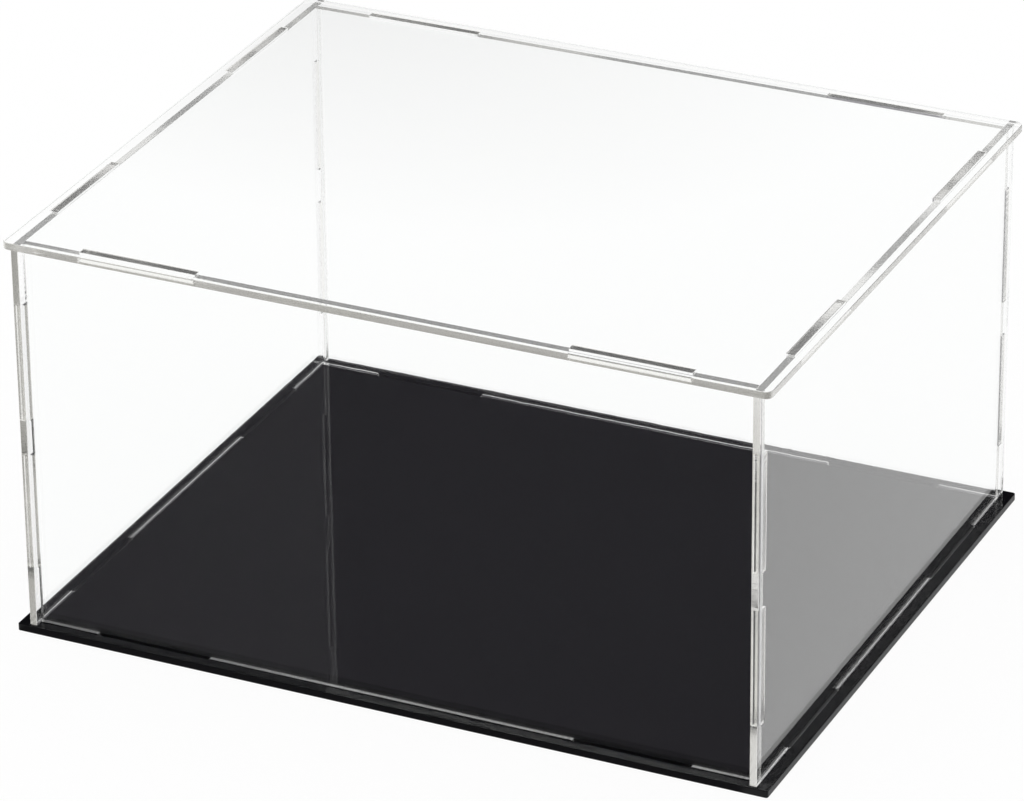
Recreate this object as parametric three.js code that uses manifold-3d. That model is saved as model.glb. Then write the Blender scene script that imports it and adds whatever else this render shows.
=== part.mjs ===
// A clear acrylic display case of six flat laser-cut sheets that slot together without glue or screws.
// A gloss black base and a clear lid carry closed slots, and four clear walls stand between them on tabs.
// The side walls run from edge to edge of the lid and have slots of their own, which hold the front and
// back walls. The base is a little larger than the lid.
// Millimetres, +X along the long side, +Y to the back and +Z up, from the middle of the base's underside.
import * as THREE from 'three';
import { mergeVertices } from 'three/addons/utils/BufferGeometryUtils.js';
import Module from 'manifold-3d';

const wasm = await Module();
wasm.setup();

// Sheet stock, and the lid's size and corners
const sheetThickness = 3;
const lidLength = 320;
const lidDepth = 262;
const lidCornerRadius = 3;

// How far the base stands out past the lid on every side, and its own, tighter corners
const baseOverhang = 1;
const baseCornerRadius = 1;

// Clear height between the base's top face and the lid's underside
const innerHeight = 164;

// Margin between the lid's edge and the walls' outer faces, and where the side walls stop short of it
const lidRim = 4;
const sideWallInset = 0.5;

// Tabs: their length, and their distance from the case's inner corners, along the plates and up the walls
const tabLength = 49.5;
const tabCornerDistance = 25.5;
const uprightCornerDistance = 24.7;

// Clearances: around a tab in its slot, between edges and faces that meet, and of a tab's end
// below the face that it comes out of
const slotPlay = 0.15;
const seatGap = 0.1;
const tabRecess = 0.1;

// How far a cut runs past the sheet, and a tab's root into it
const overrun = 1;

const clearAcrylic = { color: 0xf2f5f4, roughness: 0.04, metalness: 0, transparent: true, opacity: 0.22 };
const blackAcrylic = { color: 0x0a0a0b, roughness: 0.08, metalness: 0 };

// Places that follow from the sizes above
const outerHalfLength = lidLength / 2 - lidRim;
const outerHalfDepth = lidDepth / 2 - lidRim;
const innerHalfLength = outerHalfLength - sheetThickness;
const innerHalfDepth = outerHalfDepth - sheetThickness;
const floorHeight = sheetThickness;
const ceilingHeight = floorHeight + innerHeight;
const wallFoot = floorHeight + seatGap;
const wallTop = ceilingHeight - seatGap;
const tabReach = sheetThickness + seatGap - tabRecess;
const slotLength = tabLength + 2 * slotPlay;
const slotWidth = sheetThickness + 2 * slotPlay;

// The middles of two tabs that stand the same way in from both ends of a span
function tabCentres(low, high, cornerDistance) {
  const inset = cornerDistance + tabLength / 2;
  return [low + inset, high - inset];
}

const lengthwiseTabs = tabCentres(-innerHalfLength, innerHalfLength, tabCornerDistance);
const depthwiseTabs = tabCentres(-innerHalfDepth, innerHalfDepth, tabCornerDistance);
const uprightTabs = tabCentres(floorHeight, ceilingHeight, uprightCornerDistance);

function solidFrom(geometry) {
  geometry.deleteAttribute('normal');
  geometry.deleteAttribute('uv');
  const merged = mergeVertices(geometry);
  return new wasm.Manifold(new wasm.Mesh({
    numProp: 3,
    vertProperties: merged.attributes.position.array,
    triVerts: new Uint32Array(merged.index.array),
  }));
}

function meshFrom(name, solid, look) {
  const { vertProperties, triVerts } = solid.getMesh();
  const indexed = new THREE.BufferGeometry();
  indexed.setAttribute('position', new THREE.BufferAttribute(vertProperties, 3));
  indexed.setIndex(new THREE.BufferAttribute(triVerts, 1));
  const geometry = indexed.toNonIndexed();
  geometry.computeVertexNormals();
  const mesh = new THREE.Mesh(geometry, new THREE.MeshStandardMaterial(look));
  mesh.name = name;
  return mesh;
}

// Sheets are cut flat in X and Y, with their thickness from 0 upwards, and then stood in place.

// A rectangle of sheet around a point, as thick as the sheet plus what it runs past it on both faces
function sheetBlock(x, y, width, height, past) {
  const geometry = new THREE.BoxGeometry(width, height, sheetThickness + 2 * past);
  geometry.translate(x, y, sheetThickness / 2);
  return solidFrom(geometry);
}

// A closed slot that runs along the sheet's X or along its Y
function slotAlongX(x, y) {
  return sheetBlock(x, y, slotLength, slotWidth, overrun);
}

function slotAlongY(x, y) {
  return sheetBlock(x, y, slotWidth, slotLength, overrun);
}

// A tab that stands out of a straight edge, beyond it on the side that direction points to
function tabAcrossY(x, edgeY, direction) {
  const middle = edgeY + direction * (tabReach - overrun) / 2;
  return sheetBlock(x, middle, tabLength, tabReach + overrun, 0);
}

function tabAcrossX(edgeX, y, direction) {
  const middle = edgeX + direction * (tabReach - overrun) / 2;
  return sheetBlock(middle, y, tabReach + overrun, tabLength, 0);
}

// The blank that a plate is cut from, with its corners turned as arcs
function plateBlank(length, depth, cornerRadius) {
  const x = length / 2 - cornerRadius;
  const y = depth / 2 - cornerRadius;
  const outline = new THREE.Shape();
  outline.absarc(x, -y, cornerRadius, -Math.PI / 2, 0, false);
  outline.absarc(x, y, cornerRadius, 0, Math.PI / 2, false);
  outline.absarc(-x, y, cornerRadius, Math.PI / 2, Math.PI, false);
  outline.absarc(-x, -y, cornerRadius, Math.PI, 1.5 * Math.PI, false);
  return solidFrom(new THREE.ExtrudeGeometry(outline, {
    depth: sheetThickness,
    bevelEnabled: false,
    curveSegments: 8,
  }));
}

// Base and lid: two closed slots along each side of the blank take the walls' tabs
function plate(name, look, blank, height) {
  let sheet = blank;
  for (const side of [-1, 1]) {
    for (const x of lengthwiseTabs) {
      sheet = sheet.subtract(slotAlongX(x, side * (innerHalfDepth + sheetThickness / 2)));
    }
    for (const y of depthwiseTabs) {
      sheet = sheet.subtract(slotAlongY(side * (innerHalfLength + sheetThickness / 2), y));
    }
  }
  const mesh = meshFrom(name, sheet, look);
  mesh.position.z = height;
  return mesh;
}

// A wall's blank, with the foot and top tabs that every wall has
function wallBlank(halfWidth, tabs) {
  let sheet = sheetBlock(0, (wallFoot + wallTop) / 2, 2 * halfWidth, wallTop - wallFoot, 0);
  for (const x of tabs) {
    sheet = sheet.add(tabAcrossY(x, wallFoot, -1));
    sheet = sheet.add(tabAcrossY(x, wallTop, 1));
  }
  return sheet;
}

// Front and back walls: they fit between the side walls, and two more tabs stand out of each end
function longWall(name, rearFaceY) {
  const halfWidth = innerHalfLength - seatGap;
  let sheet = wallBlank(halfWidth, lengthwiseTabs);
  for (const side of [-1, 1]) {
    for (const z of uprightTabs) {
      sheet = sheet.add(tabAcrossX(side * halfWidth, z, side));
    }
  }
  const mesh = meshFrom(name, sheet, clearAcrylic);
  mesh.rotation.set(Math.PI / 2, 0, 0);
  mesh.position.y = rearFaceY;
  return mesh;
}

// Left and right walls: they run past the front and back walls, whose end tabs pass through their slots
function sideWall(name, leftFaceX) {
  let sheet = wallBlank(lidDepth / 2 - sideWallInset, depthwiseTabs);
  for (const side of [-1, 1]) {
    for (const z of uprightTabs) {
      sheet = sheet.subtract(slotAlongY(side * (innerHalfDepth + sheetThickness / 2), z));
    }
  }
  const mesh = meshFrom(name, sheet, clearAcrylic);
  mesh.rotation.set(Math.PI / 2, Math.PI / 2, 0);
  mesh.position.x = leftFaceX;
  return mesh;
}

const baseBlank = plateBlank(lidLength + 2 * baseOverhang, lidDepth + 2 * baseOverhang, baseCornerRadius);
const base = plate('base_panel', blackAcrylic, baseBlank, 0);

const walls = new THREE.Group();
walls.add(longWall('front_wall', -innerHalfDepth));
walls.add(longWall('back_wall', outerHalfDepth));
walls.add(sideWall('left_wall', -outerHalfLength));
walls.add(sideWall('right_wall', innerHalfLength));

const lidBlank = plateBlank(lidLength, lidDepth, lidCornerRadius);
const lid = plate('lid_panel', clearAcrylic, lidBlank, ceilingHeight);

const displayCase = new THREE.Group();
displayCase.add(base, walls, lid);

export default displayCase;
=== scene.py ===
import math

import bpy
from mathutils import Matrix, Vector


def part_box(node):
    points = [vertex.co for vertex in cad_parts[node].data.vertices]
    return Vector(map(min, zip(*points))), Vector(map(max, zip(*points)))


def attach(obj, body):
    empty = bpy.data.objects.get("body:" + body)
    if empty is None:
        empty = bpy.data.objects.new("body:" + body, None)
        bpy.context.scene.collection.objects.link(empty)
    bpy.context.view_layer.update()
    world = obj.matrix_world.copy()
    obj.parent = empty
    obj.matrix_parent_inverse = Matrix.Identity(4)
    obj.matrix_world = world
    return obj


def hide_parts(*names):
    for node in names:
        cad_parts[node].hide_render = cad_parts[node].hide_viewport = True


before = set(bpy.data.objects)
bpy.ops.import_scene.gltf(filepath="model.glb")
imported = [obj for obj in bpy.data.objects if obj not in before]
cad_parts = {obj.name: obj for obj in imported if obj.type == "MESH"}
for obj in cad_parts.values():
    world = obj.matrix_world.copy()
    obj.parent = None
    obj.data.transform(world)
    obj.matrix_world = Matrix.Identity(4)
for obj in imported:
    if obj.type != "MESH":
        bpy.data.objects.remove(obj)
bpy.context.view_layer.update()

# BASE
# A plate of gloss black cast acrylic, laser cut from 3 mm sheet, with two closed slots along each side.
# It lies flat on the table and is a hair larger than the lid. The walls' tabs drop into its slots and
# end just above its underside.

MM = 0.001
SHEET_THICKNESS = 3 * MM
BASE_CORNER_RADIUS = 1 * MM
CORNER_STEPS = 8
LID_RIM = 4 * MM
TAB_LENGTH = 49.5 * MM
PLATE_TAB_DISTANCE = 25.5 * MM
SLOT_PLAY = 0.15 * MM

base_low, base_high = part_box("base_panel")
lid_low, lid_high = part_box("lid_panel")
BASE_HALF_LENGTH, BASE_HALF_DEPTH, FLOOR_HEIGHT = base_high
LID_HALF_LENGTH, LID_HALF_DEPTH, LID_TOP = lid_high
INNER_HALF_LENGTH = LID_HALF_LENGTH - LID_RIM - SHEET_THICKNESS
INNER_HALF_DEPTH = LID_HALF_DEPTH - LID_RIM - SHEET_THICKNESS

# The laser leaves a hair's breadth of bevel on each arris, and its head rings for a few ripples after
# every sharp corner, on all but the short cuts.
ARRIS = 0.16 * MM
RIPPLE_PITCH = 2.4 * MM
RIPPLE_DEPTH = 0.1 * MM
RIPPLE_FADE = 4.5 * MM
RIPPLE_REACH = 12 * MM
RIPPLE_STEP = 0.3 * MM
SHORTEST_RIPPLED_CUT = 14.4 * MM


def tab_centres(low, high, corner_distance):
    """The middles of the two tabs along one side of a sheet"""
    inset = corner_distance + TAB_LENGTH / 2
    return (low + inset, high - inset)


LENGTHWISE_TABS = tab_centres(-INNER_HALF_LENGTH, INNER_HALF_LENGTH, PLATE_TAB_DISTANCE)
DEPTHWISE_TABS = tab_centres(-INNER_HALF_DEPTH, INNER_HALF_DEPTH, PLATE_TAB_DISTANCE)


def laser_line(start, end, against):
    """Points of one straight cut, without its end. The ripples fade away from the corner that the head
    came round first, which is the line's end where it was cut against the way it is drawn."""
    start, end = Vector(start), Vector(end)
    length = (end - start).length
    along = (end - start) / length
    into_sheet = Vector((-along.y, along.x))
    points = [start]
    if length > SHORTEST_RIPPLED_CUT:
        distances = [step * RIPPLE_STEP for step in range(1, round(RIPPLE_REACH / RIPPLE_STEP))]
        for distance in reversed(distances) if against else distances:
            wave = (1 - math.cos(2 * math.pi * distance / RIPPLE_PITCH)) / 2
            dip = RIPPLE_DEPTH * wave * math.exp(-distance / RIPPLE_FADE)
            place = length - distance if against else distance
            points.append(start + along * place + into_sheet * dip)
    return points


def sharp_path(corners, against):
    """A closed cut through sharp corners, with the sheet on its left all the way round"""
    path = []
    for start, end in zip(corners, corners[1:] + corners[:1]):
        path += laser_line(start, end, against)
    return path


def slot_path(x, y, length, width):
    """A closed slot around a point, drawn and cut clockwise"""
    right, top = x + length / 2, y + width / 2
    left, bottom = x - length / 2, y - width / 2
    return sharp_path([(left, bottom), (left, top), (right, top), (right, bottom)], False)


def plate_paths(half_length, half_depth, corner_radius):
    """The cuts of the base or the lid: a rounded outline and eight slots"""
    outline = []
    for quarter, (side_x, side_y) in enumerate([(1, 1), (-1, 1), (-1, -1), (1, -1)]):
        centre_x = side_x * (half_length - corner_radius)
        centre_y = side_y * (half_depth - corner_radius)
        for step in range(CORNER_STEPS + 1):
            angle = (quarter + step / CORNER_STEPS) * math.pi / 2
            outline.append(Vector((centre_x + corner_radius * math.cos(angle),
                                   centre_y + corner_radius * math.sin(angle))))
    long_side = TAB_LENGTH + 2 * SLOT_PLAY
    short_side = SHEET_THICKNESS + 2 * SLOT_PLAY
    paths = [outline]
    for side in (-1, 1):
        for x in LENGTHWISE_TABS:
            y = side * (INNER_HALF_DEPTH + SHEET_THICKNESS / 2)
            paths.append(slot_path(x, y, long_side, short_side))
        for y in DEPTHWISE_TABS:
            x = side * (INNER_HALF_LENGTH + SHEET_THICKNESS / 2)
            paths.append(slot_path(x, y, short_side, long_side))
    return paths


def tree_tools(tree):
    """Short ways to add a node, a link or a calculation to a tree"""
    def calculate(operation, first, second):
        step = tree.nodes.new("ShaderNodeMath")
        step.operation = operation
        for socket, value in zip(step.inputs, (first, second)):
            if isinstance(value, (int, float)):
                socket.default_value = value
            else:
                tree.links.new(value, socket)
        return step.outputs[0]

    return tree.nodes.new, tree.links.new, calculate


SECTION_POINTS = 4


def edge_section(tree, thickness, arris):
    """The cross-section of a sheet's edge, from the lower face's margin to the upper one's"""
    node, link, calculate = tree_tools(tree)
    points, index = node("GeometryNodePoints"), node("GeometryNodeInputIndex")
    points.inputs["Count"].default_value = SECTION_POINTS
    heights, insets = node("GeometryNodeIndexSwitch"), node("GeometryNodeIndexSwitch")
    for switch in (heights, insets):
        switch.data_type = "FLOAT"
        while len(switch.index_switch_items) < SECTION_POINTS:
            switch.index_switch_items.new()
        link(index.outputs[0], switch.inputs["Index"])
    link(arris, heights.inputs["1"])
    link(calculate("SUBTRACT", thickness, arris), heights.inputs["2"])
    link(thickness, heights.inputs["3"])
    for margin in ("0", "3"):
        link(arris, insets.inputs[margin])
    place, section = node("ShaderNodeCombineXYZ"), node("GeometryNodePointsToCurves")
    link(calculate("MULTIPLY", insets.outputs[0], -1), place.inputs["X"])
    link(calculate("MULTIPLY", heights.outputs[0], -1), place.inputs["Y"])
    link(place.outputs[0], points.inputs["Position"])
    link(points.outputs[0], section.inputs["Points"])
    return section.outputs[0]


# A band's lower margin lies below this share of the thickness and has fewer faces beside it than this
LOWEST_SHARE = 0.01
MARGIN_FACES = 1.5
WELD_DISTANCE = 0.001 * MM


def sheet_tree():
    """Geometry nodes that turn a laser's paths into a closed sheet: the edge band follows each path,
    and the two faces fill what lies between the bands."""
    tree = bpy.data.node_groups.new("Laser cut sheet", "GeometryNodeTree")
    for name, kind in [("Paths", "NodeSocketGeometry"), ("Thickness", "NodeSocketFloat"),
                       ("Arris", "NodeSocketFloat"), ("Face finish", "NodeSocketMaterial"),
                       ("Edge finish", "NodeSocketMaterial"), ("Foot finish", "NodeSocketMaterial"),
                       ("Foot height", "NodeSocketFloat"), ("Turn", "NodeSocketVector"),
                       ("Place", "NodeSocketVector")]:
        tree.interface.new_socket(name, in_out="INPUT", socket_type=kind)
    tree.interface.new_socket("Sheet", in_out="OUTPUT", socket_type="NodeSocketGeometry")
    node, link, calculate = tree_tools(tree)
    given, result = node("NodeGroupInput"), node("NodeGroupOutput")
    thickness, arris = given.outputs["Thickness"], given.outputs["Arris"]
    place, split = node("GeometryNodeInputPosition"), node("ShaderNodeSeparateXYZ")
    link(place.outputs[0], split.inputs[0])

    def finished(mesh, finish, only=None):
        setting = node("GeometryNodeSetMaterial")
        link(mesh, setting.inputs["Geometry"])
        link(given.outputs[finish], setting.inputs["Material"])
        if only:
            link(only, setting.inputs["Selection"])
        return setting.outputs[0]

    def turned_over(mesh):
        flip = node("GeometryNodeFlipFaces")
        link(mesh, flip.inputs["Mesh"])
        return flip.outputs[0]

    # The band along every path, with a finish of its own at the foot
    band = node("GeometryNodeCurveToMesh")
    link(given.outputs["Paths"], band.inputs["Curve"])
    link(edge_section(tree, thickness, arris), band.inputs["Profile Curve"])
    at_foot = calculate("LESS_THAN", split.outputs["Y"], given.outputs["Foot height"])
    edges = finished(finished(turned_over(band.outputs[0]), "Edge finish"), "Foot finish", at_foot)

    # The lower margin of the bands is the outline of a face
    neighbours = node("GeometryNodeInputMeshEdgeNeighbors")
    low = calculate("LESS_THAN", split.outputs["Z"], calculate("MULTIPLY", thickness, LOWEST_SHARE))
    open_edge = calculate("LESS_THAN", neighbours.outputs[0], MARGIN_FACES)
    margin, fill = node("GeometryNodeMeshToCurve"), node("GeometryNodeFillCurve")
    link(band.outputs[0], margin.inputs["Mesh"])
    link(calculate("MULTIPLY", low, open_edge), margin.inputs["Selection"])
    link(margin.outputs[0], fill.inputs["Curve"])
    face = finished(fill.outputs[0], "Face finish")
    top_side, lift = node("GeometryNodeTransform"), node("ShaderNodeCombineXYZ")
    link(thickness, lift.inputs["Z"])
    link(face, top_side.inputs["Geometry"])
    link(lift.outputs[0], top_side.inputs["Translation"])

    # One closed body with flat facets, stood where it belongs
    together, weld = node("GeometryNodeJoinGeometry"), node("GeometryNodeMergeByDistance")
    for part in (edges, turned_over(face), top_side.outputs[0]):
        link(part, together.inputs[0])
    weld.inputs["Distance"].default_value = WELD_DISTANCE
    link(together.outputs[0], weld.inputs["Geometry"])
    flat = node("GeometryNodeSetShadeSmooth")
    flat.inputs["Shade Smooth"].default_value = False
    link(weld.outputs[0], flat.inputs[0])
    stand, turn = node("GeometryNodeTransform"), node("FunctionNodeEulerToRotation")
    link(given.outputs["Turn"], turn.inputs[0])
    link(flat.outputs[0], stand.inputs["Geometry"])
    link(turn.outputs[0], stand.inputs["Rotation"])
    link(given.outputs["Place"], stand.inputs["Translation"])
    realize = node("GeometryNodeRealizeInstances")
    link(stand.outputs[0], realize.inputs[0])
    link(realize.outputs[0], result.inputs[0])
    return tree


SHEET_TREE = sheet_tree()

# A foot height below every flat sheet, for one whose edges have the same finish all round
NO_FOOT = -1


def cut_sheet(name, paths, face_finish, edge_finish, turn, place, foot_finish=None, foot_height=NO_FOOT):
    """A sheet cut along these paths and stood in its place, as a plain mesh. Its edges below the foot
    height may have a finish of their own."""
    curve = bpy.data.curves.new(name + "_paths", "CURVE")
    curve.dimensions = "3D"
    for path in paths:
        spline = curve.splines.new("POLY")
        spline.points.add(len(path) - 1)
        for point, xy in zip(spline.points, path):
            point.co = (xy[0], xy[1], 0, 1)
        spline.use_cyclic_u = True
    cutter = bpy.data.objects.new(name + "_paths", curve)
    bpy.context.collection.objects.link(cutter)
    modifier = cutter.modifiers.new("Laser cut sheet", "NODES")
    modifier.node_group = SHEET_TREE
    given = {"Thickness": SHEET_THICKNESS, "Arris": ARRIS, "Face finish": face_finish,
             "Edge finish": edge_finish, "Foot finish": foot_finish or edge_finish,
             "Foot height": foot_height, "Turn": turn, "Place": place}
    for item in SHEET_TREE.interface.items_tree:
        if item.in_out == "INPUT" and item.name in given:
            modifier[item.identifier] = given[item.name]
    bpy.context.view_layer.update()
    shape = cutter.evaluated_get(bpy.context.evaluated_depsgraph_get())
    mesh = bpy.data.meshes.new_from_object(shape)
    mesh.name = name
    cutter.modifiers.remove(modifier)
    bpy.data.objects.remove(cutter)
    bpy.data.curves.remove(curve)
    piece = bpy.data.objects.new(name, mesh)
    bpy.context.collection.objects.link(piece)
    return piece


ACRYLIC_IOR = 1.49


def acrylic(name, values):
    """A new acrylic finish with these values, and its Principled node"""
    material = bpy.data.materials.new(name)
    material.use_nodes = True
    shader = material.node_tree.nodes["Principled BSDF"]
    shader.inputs["IOR"].default_value = ACRYLIC_IOR
    for socket, value in values.items():
        shader.inputs[socket].default_value = value
    return material, shader


def noise(material, scales, detail):
    """Noise over the piece's own coordinates, in metres, with a scale for each axis"""
    node, link, _ = tree_tools(material.node_tree)
    coordinates, mapping = node("ShaderNodeTexCoord"), node("ShaderNodeMapping")
    texture = node("ShaderNodeTexNoise")
    mapping.inputs["Scale"].default_value = scales
    texture.inputs["Detail"].default_value = detail
    link(coordinates.outputs["Object"], mapping.inputs["Vector"])
    link(mapping.outputs["Vector"], texture.inputs["Vector"])
    return texture.outputs["Fac"]


def relief(material, shader, height, depth, under=None):
    """Bump of this depth in metres, over another bump where one is given"""
    node, link, _ = tree_tools(material.node_tree)
    bump = node("ShaderNodeBump")
    bump.inputs["Distance"].default_value = depth
    link(height, bump.inputs["Height"])
    if under:
        link(under.outputs["Normal"], bump.inputs["Normal"])
    link(bump.outputs["Normal"], shader.inputs["Normal"])
    return bump


NOISE_RANGE = (0.3, 0.7)


def spread_over(material, value, limits):
    """A noise's usual range carried over to these limits"""
    node, link, _ = tree_tools(material.node_tree)
    spread = node("ShaderNodeMapRange")
    for socket, limit in zip(("From Min", "From Max", "To Min", "To Max"), NOISE_RANGE + limits):
        spread.inputs[socket].default_value = limit
    link(value, spread.inputs["Value"])
    return spread.outputs["Result"]


# Deep black with a calm polish: slightly duller and shinier spots, over the slow swell of cast sheet
BLACK_PIGMENT = (0.0045, 0.0045, 0.0055, 1)
BLACK_SHEEN = 0.15
SPOT_SCALES = (22, 22, 22)
SPOT_DETAIL = 4
SPOT_ROUGHNESS = (0.012, 0.035)
BLACK_SWELL_SCALES = (14, 14, 14)
BLACK_SWELL_DEPTH = 0.02 * MM
SWELL_DETAIL = 2

black_gloss, shader = acrylic("black_acrylic_gloss",
                              {"Base Color": BLACK_PIGMENT, "Specular IOR Level": BLACK_SHEEN})
spots = noise(black_gloss, SPOT_SCALES, SPOT_DETAIL)
roughness = spread_over(black_gloss, spots, SPOT_ROUGHNESS)
black_gloss.node_tree.links.new(roughness, shader.inputs["Roughness"])
relief(black_gloss, shader, noise(black_gloss, BLACK_SWELL_SCALES, SWELL_DETAIL), BLACK_SWELL_DEPTH)

# A cut edge wanders a little, and over that it has fine striations that run through the sheet's
# thickness. Each has its scale along the cut, its scale through the thickness, and its depth.
EDGE_WANDER = (420, 20, 0.05 * MM)
EDGE_STRIATIONS = (2600, 60, 0.012 * MM)
EDGE_DETAIL = 1


def laser_edge(name, thickness_axis, colour, roughness, clearness, sheen):
    """The finish of a laser-cut edge, on a sheet whose thickness lies along this axis"""
    material, edge = acrylic(name, {"Base Color": colour, "Roughness": roughness,
                                    "Transmission Weight": clearness, "Specular IOR Level": sheen})
    bump = None
    for along, through, depth in (EDGE_WANDER, EDGE_STRIATIONS):
        scales = [through if axis == thickness_axis else along for axis in "XYZ"]
        bump = relief(material, edge, noise(material, scales, EDGE_DETAIL), depth, bump)
    return material


BLACK_CUT_TONE = (0.009, 0.009, 0.0098, 1)
BLACK_CUT_ROUGHNESS = 0.3
OPAQUE = 0
LYING_FLAT = (0, 0, 0)

black_edge = laser_edge("black_acrylic_cut_edge", "Z", BLACK_CUT_TONE, BLACK_CUT_ROUGHNESS, OPAQUE,
                        BLACK_SHEEN)

base_sheet = cut_sheet("base_sheet", plate_paths(BASE_HALF_LENGTH, BASE_HALF_DEPTH, BASE_CORNER_RADIUS),
                       black_gloss, black_edge, LYING_FLAT, (0, 0, base_low[2]))
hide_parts("base_panel")
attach(base_sheet, "base")

# FRONT AND BACK WALLS
# Clear cast acrylic from the same 3 mm stock, cut to fit between the side walls. Two tabs drop into the
# base, two reach up into the lid and two at each end pass through the side walls, with no glue.

CEILING_HEIGHT = lid_low[2]
SEAT_GAP = 0.1 * MM
TAB_RECESS = 0.1 * MM
WALL_FOOT = FLOOR_HEIGHT + SEAT_GAP
WALL_TOP = CEILING_HEIGHT - SEAT_GAP
TAB_REACH = SHEET_THICKNESS + SEAT_GAP - TAB_RECESS
END_TAB_DISTANCE = 24.7 * MM
UPRIGHT_TABS = tab_centres(FLOOR_HEIGHT, CEILING_HEIGHT, END_TAB_DISTANCE)


def wall_paths(half_width, foot_tabs, end_tabs):
    """A wall's outline, with its width along X and its height along Y, drawn anticlockwise but cut
    clockwise"""
    corners = [(-half_width, WALL_FOOT)]
    for x in foot_tabs:
        for step_x, depth in [(-1, 0), (-1, 1), (1, 1), (1, 0)]:
            corners.append((x + step_x * TAB_LENGTH / 2, WALL_FOOT - depth * TAB_REACH))
    corners.append((half_width, WALL_FOOT))
    for z in end_tabs:
        for step_z, depth in [(-1, 0), (-1, 1), (1, 1), (1, 0)]:
            corners.append((half_width + depth * TAB_REACH, z + step_z * TAB_LENGTH / 2))
    corners.append((half_width, WALL_TOP))
    for x in reversed(foot_tabs):
        for step_x, depth in [(1, 0), (1, 1), (-1, 1), (-1, 0)]:
            corners.append((x + step_x * TAB_LENGTH / 2, WALL_TOP + depth * TAB_REACH))
    corners.append((-half_width, WALL_TOP))
    for z in reversed(end_tabs):
        for step_z, depth in [(1, 0), (1, 1), (-1, 1), (-1, 0)]:
            corners.append((-half_width - depth * TAB_REACH, z + step_z * TAB_LENGTH / 2))
    return [sharp_path(corners, True)]


# Clear sheet shows what lies behind it almost unchanged, with a faint swell in what it mirrors.
CLEAR = 1
CLEAR_TINT = (0.992, 0.996, 0.994, 1)
CLEAR_ROUGHNESS = 0
CLEAR_SHEEN = 0.5
CLEAR_SWELL_SCALES = (12, 12, 12)
CLEAR_SWELL_DEPTH = 0.01 * MM
CUT_TINT = (0.93, 0.925, 0.905, 1)
CUT_ROUGHNESS = 0.02

clear_face, shader = acrylic("clear_acrylic_sheet",
                             {"Base Color": CLEAR_TINT, "Roughness": CLEAR_ROUGHNESS,
                              "Transmission Weight": CLEAR, "Specular IOR Level": CLEAR_SHEEN})
relief(clear_face, shader, noise(clear_face, CLEAR_SWELL_SCALES, SWELL_DETAIL), CLEAR_SWELL_DEPTH)
long_wall_edge = laser_edge("clear_acrylic_cut_edge_long_wall", "Y", CUT_TINT, CUT_ROUGHNESS, CLEAR,
                            CLEAR_SHEEN)

# The front wall's foot, with its tabs in the base's slots, is a little rough from rubbing. Its dark,
# partly opaque colour is painted shade for the darkness where the foot sits on the black base.
FOOT_HEIGHT = WALL_FOOT + ARRIS
FOOT_PAINTED_SHADE = (0.15, 0.148, 0.145, 1)
FOOT_ROUGHNESS = 0.1
FOOT_CLEARNESS = 0.4

foot_painted_shade = laser_edge("clear_acrylic_front_foot_painted_shade", "Y", FOOT_PAINTED_SHADE, FOOT_ROUGHNESS, FOOT_CLEARNESS,
                       CLEAR_SHEEN)

FACING_FRONT = (math.pi / 2, 0, 0)

for name, cad_node, rear_face, foot in [
        # The front wall's foot carries the painted shade of its seat on the black base
        ("front_wall_sheet", "front_wall", -INNER_HALF_DEPTH, foot_painted_shade),
        ("back_wall_sheet", "back_wall", INNER_HALF_DEPTH + SHEET_THICKNESS, long_wall_edge)]:
    wall = cut_sheet(name, wall_paths(INNER_HALF_LENGTH - SEAT_GAP, LENGTHWISE_TABS, UPRIGHT_TABS),
                     clear_face, long_wall_edge, FACING_FRONT, (0, rear_face, 0), foot, FOOT_HEIGHT)
    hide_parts(cad_node)
    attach(wall, "walls")

# LEFT AND RIGHT WALLS
# The same clear sheet, run almost from edge to edge of the lid, with tabs at foot and top. Two closed
# slots near each end take the end tabs of the front and back walls and lock the four into a box.

SIDE_WALL_INSET = 0.5 * MM
FACING_SIDE = (math.pi / 2, 0, math.pi / 2)


def side_wall_paths():
    """A side wall's outline, with the four slots that the front and back walls' end tabs pass through"""
    paths = wall_paths(LID_HALF_DEPTH - SIDE_WALL_INSET, DEPTHWISE_TABS, ())
    for side in (-1, 1):
        for z in UPRIGHT_TABS:
            y = side * (INNER_HALF_DEPTH + SHEET_THICKNESS / 2)
            paths.append(slot_path(y, z, SHEET_THICKNESS + 2 * SLOT_PLAY, TAB_LENGTH + 2 * SLOT_PLAY))
    return paths


side_wall_edge = laser_edge("clear_acrylic_cut_edge_side_wall", "X", CUT_TINT, CUT_ROUGHNESS, CLEAR,
                            CLEAR_SHEEN)
for name, cad_node, left_face in [
        ("left_wall_sheet", "left_wall", -INNER_HALF_LENGTH - SHEET_THICKNESS),
        ("right_wall_sheet", "right_wall", INNER_HALF_LENGTH)]:
    wall = cut_sheet(name, side_wall_paths(), clear_face, side_wall_edge, FACING_SIDE, (left_face, 0, 0))
    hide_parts(cad_node)
    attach(wall, "walls")

# LID
# A clear plate with the base's slots and rounder corners. It drops over the walls' top tabs, which end
# a hair below its upper face, and lifts straight off.

LID_CORNER_RADIUS = 3 * MM

lid_edge = laser_edge("clear_acrylic_cut_edge_lid", "Z", CUT_TINT, CUT_ROUGHNESS, CLEAR, CLEAR_SHEEN)
lid_sheet = cut_sheet("lid_sheet", plate_paths(LID_HALF_LENGTH, LID_HALF_DEPTH, LID_CORNER_RADIUS),
                      clear_face, lid_edge, LYING_FLAT, (0, 0, CEILING_HEIGHT))
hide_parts("lid_panel")
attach(lid_sheet, "lid")

# STUDIO
# A pale floor that runs on to a white surround, which lights the case softly from everywhere, black and
# white cards that its gloss faces mirror, and the camera.

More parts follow.
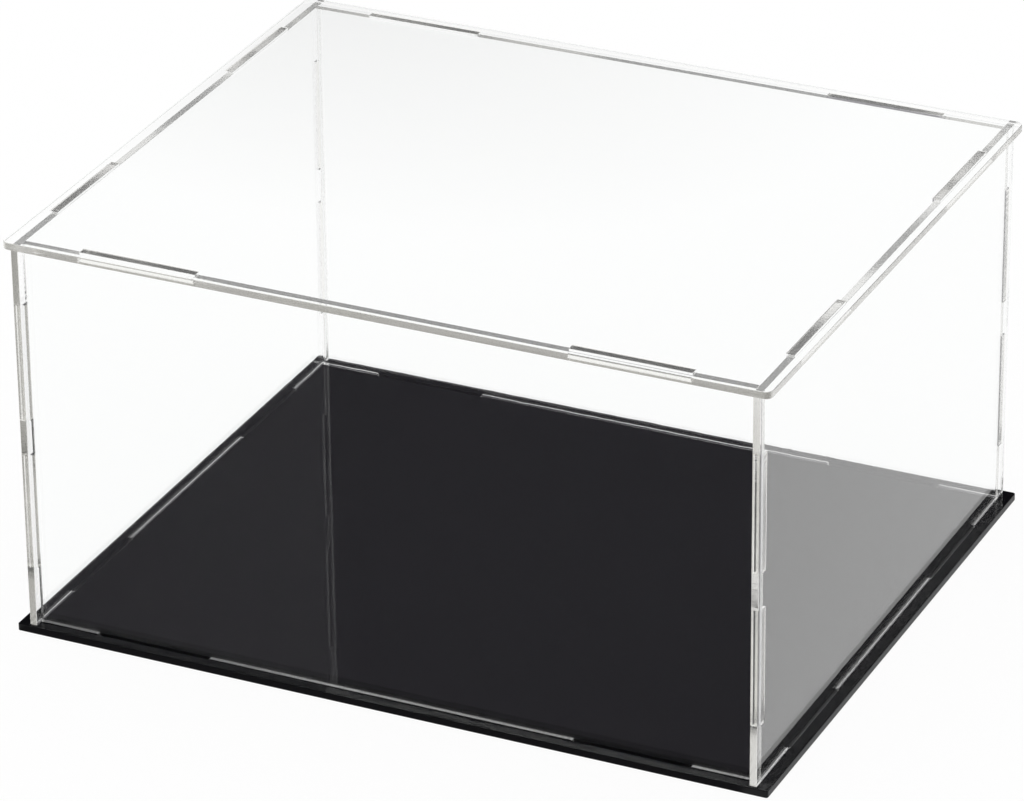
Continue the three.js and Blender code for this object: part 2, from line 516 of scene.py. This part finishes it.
CAMERA_AIM = Vector((-0.00221, -0.00698, 0.07657))
CAMERA_AZIMUTH = math.radians(25.232)
CAMERA_ELEVATION = math.radians(26.822)
CAMERA_ROLL = math.radians(-0.638)
CAMERA_DISTANCE = 2.3542
CAMERA_LENS = 208.19
CAMERA_REACH = 60

camera = bpy.data.objects.new("camera", bpy.data.cameras.new("camera"))
bpy.context.collection.objects.link(camera)
camera.data.lens = CAMERA_LENS
camera.data.clip_end = CAMERA_REACH
away = Vector((math.sin(CAMERA_AZIMUTH) * math.cos(CAMERA_ELEVATION),
               -math.cos(CAMERA_AZIMUTH) * math.cos(CAMERA_ELEVATION), math.sin(CAMERA_ELEVATION)))
camera.matrix_world = (Matrix.Translation(CAMERA_AIM + away * CAMERA_DISTANCE)
                       @ away.to_track_quat("Z", "Y").to_matrix().to_4x4()
                       @ Matrix.Rotation(CAMERA_ROLL, 4, "Z"))
scene = bpy.context.scene
scene.camera = camera
scene.view_settings.view_transform = "Standard"

# Light runs along inside the sheets and bounces many times before it leaves at an edge.
INNER_BOUNCES = 200
scene.cycles.max_bounces = INNER_BOUNCES
scene.cycles.transmission_bounces = INNER_BOUNCES
scene.cycles.glossy_bounces = INNER_BOUNCES


CARD_CORNERS = 4


def stage_card(name, corners, material):
    """Flat pieces of the studio, four corners each, which aren't part of the object"""
    mesh = bpy.data.meshes.new(name)
    firsts = range(0, len(corners), CARD_CORNERS)
    mesh.from_pydata(corners, [], [tuple(range(first, first + CARD_CORNERS)) for first in firsts])
    mesh.materials.append(material)
    card = bpy.data.objects.new(name, mesh)
    bpy.context.collection.objects.link(card)
    return card


# Acrylic swallows a little of the light that runs along inside it. A sheet mirrors such light inwards
# many times, so the surround is dimmer and warmer for sight lines with many mirrorings behind them. The
# longest ways run through a wall from end to end and come out towards the brightest part of the room.
WHITE_MIRRORINGS = 18
DIM_MIRRORINGS = (30, 38)
BRIGHT_MIRRORINGS = 46
MOST_MIRRORINGS = 64
WHITE = (1, 1, 1, 1)
LONG_WAY_TONE = (0.3, 0.294, 0.276, 1)


def long_way_tone(tree):
    """White that turns to the long way's tone and back with the number of mirrorings"""
    node, link, calculate = tree_tools(tree)
    rays, tones = node("ShaderNodeLightPath"), node("ShaderNodeValToRGB")
    stops = tones.color_ramp.elements
    stops[0].position, stops[0].color = WHITE_MIRRORINGS / MOST_MIRRORINGS, WHITE
    stops[1].position, stops[1].color = BRIGHT_MIRRORINGS / MOST_MIRRORINGS, WHITE
    for count in DIM_MIRRORINGS:
        stops.new(count / MOST_MIRRORINGS).color = LONG_WAY_TONE
    link(calculate("DIVIDE", rays.outputs["Glossy Depth"], MOST_MIRRORINGS), tones.inputs["Fac"])
    return tones.outputs["Color"]


def empty_material(name):
    """A new material without nodes, and the tools to add them"""
    material = bpy.data.materials.new(name)
    material.use_nodes = True
    material.node_tree.nodes.clear()
    return material, tree_tools(material.node_tree)


# The floor's paint takes the shadow, and a glow that only sight lines, mirrors and glass see brings it
# up to white.
FLOOR_PAINT = (0.06, 0.06, 0.06, 1)
FLOOR_GLOW = 0.94
FLOOR_DROP = 0.2 * MM
FLOOR_REACH = 20

floor_paint, (node, link, calculate) = empty_material("floor")
paint, glow = node("ShaderNodeBsdfDiffuse"), node("ShaderNodeEmission")
both, output = node("ShaderNodeAddShader"), node("ShaderNodeOutputMaterial")
rays = node("ShaderNodeLightPath").outputs
seen = calculate("MAXIMUM", rays["Is Camera Ray"], rays["Is Glossy Ray"])
seen = calculate("MAXIMUM", seen, rays["Is Transmission Ray"])
paint.inputs["Color"].default_value = FLOOR_PAINT
link(calculate("MULTIPLY", seen, FLOOR_GLOW), glow.inputs["Strength"])
link(long_way_tone(floor_paint.node_tree), glow.inputs["Color"])
link(paint.outputs[0], both.inputs[0])
link(glow.outputs[0], both.inputs[1])
link(both.outputs[0], output.inputs["Surface"])
stage_card("floor", [(side_x * FLOOR_REACH, side_y * FLOOR_REACH, -FLOOR_DROP)
                     for side_x, side_y in [(-1, -1), (1, -1), (1, 1), (-1, 1)]], floor_paint)

world = bpy.data.worlds.new("surround")
world.use_nodes = True
background = world.node_tree.nodes["Background"]
world.node_tree.links.new(long_way_tone(world.node_tree), background.inputs["Color"])
scene.world = world

# A mirror card shows when the number of mirrorings lies between these two, and not from behind.
ONCE_MIRRORED = (0.5, 1.5)
FROM_BEHIND = 0.5


def mirror_card(name, corners, colour):
    """A card of one colour that shows only to sight lines mirrored exactly once, and only from its
    front. Every other sight line and all light pass through it. It comes back as the card's material
    and the emission that gives its tone."""
    material, (node, link, calculate) = empty_material(name)
    rays, side = node("ShaderNodeLightPath").outputs, node("ShaderNodeNewGeometry").outputs
    once = calculate("MULTIPLY", calculate("GREATER_THAN", rays["Glossy Depth"], ONCE_MIRRORED[0]),
                     calculate("LESS_THAN", rays["Glossy Depth"], ONCE_MIRRORED[1]))
    shown = calculate("MULTIPLY", once, calculate("LESS_THAN", side["Backfacing"], FROM_BEHIND))
    clear, tone = node("ShaderNodeBsdfTransparent"), node("ShaderNodeEmission")
    mix, output = node("ShaderNodeMixShader"), node("ShaderNodeOutputMaterial")
    tone.inputs["Color"].default_value = colour
    link(shown, mix.inputs["Fac"])
    link(clear.outputs[0], mix.inputs[1])
    link(tone.outputs[0], mix.inputs[2])
    link(mix.outputs[0], output.inputs["Surface"])
    card = stage_card(name, corners, material)
    card.visible_camera = card.visible_shadow = card.visible_diffuse = False
    return material, tone


# Black card at the lid's height all round the case, face down, so that the gloss base mirrors darkness
COLLAR_TONE = (0.036, 0.034, 0.043, 1)
COLLAR_GAP = 1 * MM
COLLAR_WIDTH = 500 * MM
near_x, near_y = LID_HALF_LENGTH + COLLAR_GAP, LID_HALF_DEPTH + COLLAR_GAP
far_x, far_y = near_x + COLLAR_WIDTH, near_y + COLLAR_WIDTH
collar = []
for low_x, high_x, low_y, high_y in [
        (-far_x, far_x, near_y, far_y), (-far_x, far_x, -far_y, -near_y),
        (-far_x, -near_x, -near_y, near_y), (near_x, far_x, -near_y, near_y)]:
    collar += [(x, y, LID_TOP + COLLAR_GAP)
               for x, y in [(low_x, low_y), (low_x, high_y), (high_x, high_y), (high_x, low_y)]]
mirror_card("black_collar", collar, COLLAR_TONE)

# Black card on the table before the case, face up, which the front wall mirrors over the base. Its
# right side lies where the wall's right end sends the camera's sight lines, so the side wall's edge
# mirrors white.
FRONT_CARD_TONE = (0.15, 0.143, 0.165, 1)
FRONT_CARD_REACH = 255 * MM
CARD_GAP = 0.3 * MM


def mirrored_on_table(wall_x, table_y):
    """How far along X the front wall's outer face, at wall_x, mirrors the table at this depth"""
    wall_y = -INNER_HALF_DEPTH - SHEET_THICKNESS
    eye = camera.matrix_world.translation
    share = (wall_y - table_y) / (wall_y - eye.y)
    return wall_x - share * (eye.x - wall_x)


low_y, high_y = -BASE_HALF_DEPTH - FRONT_CARD_REACH, -BASE_HALF_DEPTH - CARD_GAP
wall_end = INNER_HALF_LENGTH - SEAT_GAP
mirror_card("black_front_card",
            [(-BASE_HALF_LENGTH, low_y, 0), (mirrored_on_table(wall_end, low_y), low_y, 0),
             (mirrored_on_table(wall_end, high_y), high_y, 0), (-BASE_HALF_LENGTH, high_y, 0)],
            FRONT_CARD_TONE)

# White cards inside the left and back walls, facing them, so that each mirrors white beyond the base's
# edge
LEFT_CARD_FOOT = FLOOR_HEIGHT + 6.3 * MM
BACK_CARD_FOOT = FLOOR_HEIGHT + 3 * MM
x, low_y, high_y = -INNER_HALF_LENGTH + CARD_GAP, -INNER_HALF_DEPTH, INNER_HALF_DEPTH
mirror_card("white_left_card", [(x, low_y, LEFT_CARD_FOOT), (x, low_y, CEILING_HEIGHT),
                                (x, high_y, CEILING_HEIGHT), (x, high_y, LEFT_CARD_FOOT)], WHITE)
y, low_x, high_x = INNER_HALF_DEPTH - CARD_GAP, -INNER_HALF_LENGTH, INNER_HALF_LENGTH
mirror_card("white_back_card", [(low_x, y, BACK_CARD_FOOT), (low_x, y, CEILING_HEIGHT),
                                (high_x, y, CEILING_HEIGHT), (high_x, y, BACK_CARD_FOOT)], WHITE)

# Backdrop far behind, white with one soft grey shade that the lid mirrors at its back left corner
BACKDROP_DISTANCE = 1000 * MM
BACKDROP_SIDES = (-1500 * MM, 600 * MM)
BACKDROP_HEIGHTS = (200 * MM, 1400 * MM)
SHADE_TONE = (0.38, 0.38, 0.38, 1)
SHADE_MIDDLE = (-640 * MM, 540 * MM)
SHADE_REACH = (420 * MM, 190 * MM)
(low_x, high_x), (low_z, high_z), y = BACKDROP_SIDES, BACKDROP_HEIGHTS, BACKDROP_DISTANCE
backdrop, tone = mirror_card("backdrop", [(low_x, y, low_z), (high_x, y, low_z),
                                          (high_x, y, high_z), (low_x, y, high_z)], WHITE)
node, link, _ = tree_tools(backdrop.node_tree)
own_place, where = node("ShaderNodeTexCoord"), node("ShaderNodeMapping")
fall, blend = node("ShaderNodeTexGradient"), node("ShaderNodeMix")
where.inputs["Scale"].default_value = (1 / SHADE_REACH[0], 0, 1 / SHADE_REACH[1])
where.inputs["Location"].default_value = (-SHADE_MIDDLE[0] / SHADE_REACH[0], 0,
                                          -SHADE_MIDDLE[1] / SHADE_REACH[1])
fall.gradient_type = "SPHERICAL"
blend.data_type = "RGBA"
blend.inputs["A"].default_value = WHITE
blend.inputs["B"].default_value = SHADE_TONE
link(own_place.outputs["Object"], where.inputs["Vector"])
link(where.outputs["Vector"], fall.inputs["Vector"])
link(fall.outputs["Fac"], blend.inputs["Factor"])
link(blend.outputs["Result"], tone.inputs["Color"])
